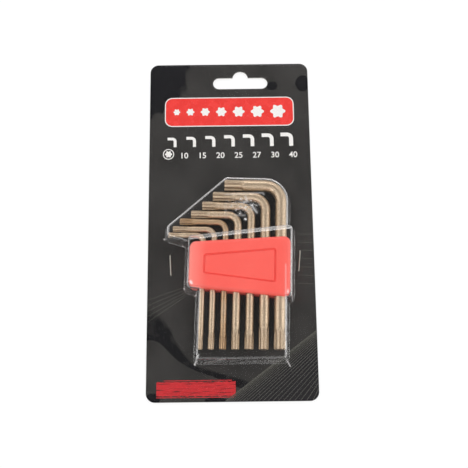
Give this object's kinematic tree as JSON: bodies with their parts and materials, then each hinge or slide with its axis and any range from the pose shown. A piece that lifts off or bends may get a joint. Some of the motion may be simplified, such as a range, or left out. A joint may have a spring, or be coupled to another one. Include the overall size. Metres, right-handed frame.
{
  "type": "carded star key set",
  "caption": "Hang card with a clear blister that opens on a set of L-shaped star keys, nested side by side in a tapered moulded holder.",
  "frame": {"origin": "middle of the card's back, which lies on the surface under it", "axes": "+Z out of the card's printed face, +Y along the card towards its hang slot, +X to the right as the face is read"},
  "size_m": [0.095, 0.202, 0.0125],
  "materials": {
    "printed_card": "laminated dark grey print on board",
    "clear_plastic": "clear formed sheet",
    "staple_wire": "galvanised wire",
    "holder_plastic": "satin moulded",
    "plated_steel": "champagne satin plating"
  },
  "bodies": {
    "pack": {"card": "printed_card"},
    "cover": {"blister": "clear_plastic", "staple_left": "staple_wire", "staple_right": "staple_wire"},
    "holder": {"holder": "holder_plastic"},
    "key_10": {"key_10": "plated_steel"},
    "key_15": {"key_15": "plated_steel"},
    "key_20": {"key_20": "plated_steel"},
    "key_25": {"key_25": "plated_steel"},
    "key_27": {"key_27": "plated_steel"},
    "key_30": {"key_30": "plated_steel"},
    "key_40": {"key_40": "plated_steel"}
  },
  "joints": [
    {"name": "blister_open", "type": "hinge", "parent": "pack", "child": "cover", "pos_m": [0, -0.1, 0.0013], "axis": [1, 0, 0], "range_deg": [0, 150]},
    {"name": "holder_lift", "type": "slide", "parent": "pack", "child": "holder", "axis": [0, 0, 1], "range_m": [0, 0.02]},
    {"name": "key_10_draw", "type": "slide", "parent": "holder", "child": "key_10", "axis": [0.0349, 0.9994, 0], "range_m": [0, 0.04]},
    {"name": "key_15_draw", "type": "slide", "parent": "holder", "child": "key_15", "axis": [0.0349, 0.9994, 0], "range_m": [0, 0.041]},
    {"name": "key_20_draw", "type": "slide", "parent": "holder", "child": "key_20", "axis": [0.0349, 0.9994, 0], "range_m": [0, 0.042]},
    {"name": "key_25_draw", "type": "slide", "parent": "holder", "child": "key_25", "axis": [0.0349, 0.9994, 0], "range_m": [0, 0.043]},
    {"name": "key_27_draw", "type": "slide", "parent": "holder", "child": "key_27", "axis": [0.0349, 0.9994, 0], "range_m": [0, 0.044]},
    {"name": "key_30_draw", "type": "slide", "parent": "holder", "child": "key_30", "axis": [0.0349, 0.9994, 0], "range_m": [0, 0.045]},
    {"name": "key_40_draw", "type": "slide", "parent": "holder", "child": "key_40", "axis": [0.0349, 0.9994, 0], "range_m": [0, 0.046]}
  ],
  "couplings": [
    {"joint": "holder_lift", "follows": "blister_open", "m_per_rad": 0.0076394},
    {"joint": "key_10_draw", "follows": "blister_open", "m_per_rad": 0.015279},
    {"joint": "key_15_draw", "follows": "blister_open", "m_per_rad": 0.015661},
    {"joint": "key_20_draw", "follows": "blister_open", "m_per_rad": 0.016043},
    {"joint": "key_25_draw", "follows": "blister_open", "m_per_rad": 0.016425},
    {"joint": "key_27_draw", "follows": "blister_open", "m_per_rad": 0.016807},
    {"joint": "key_30_draw", "follows": "blister_open", "m_per_rad": 0.017189},
    {"joint": "key_40_draw", "follows": "blister_open", "m_per_rad": 0.017571}
  ]
}
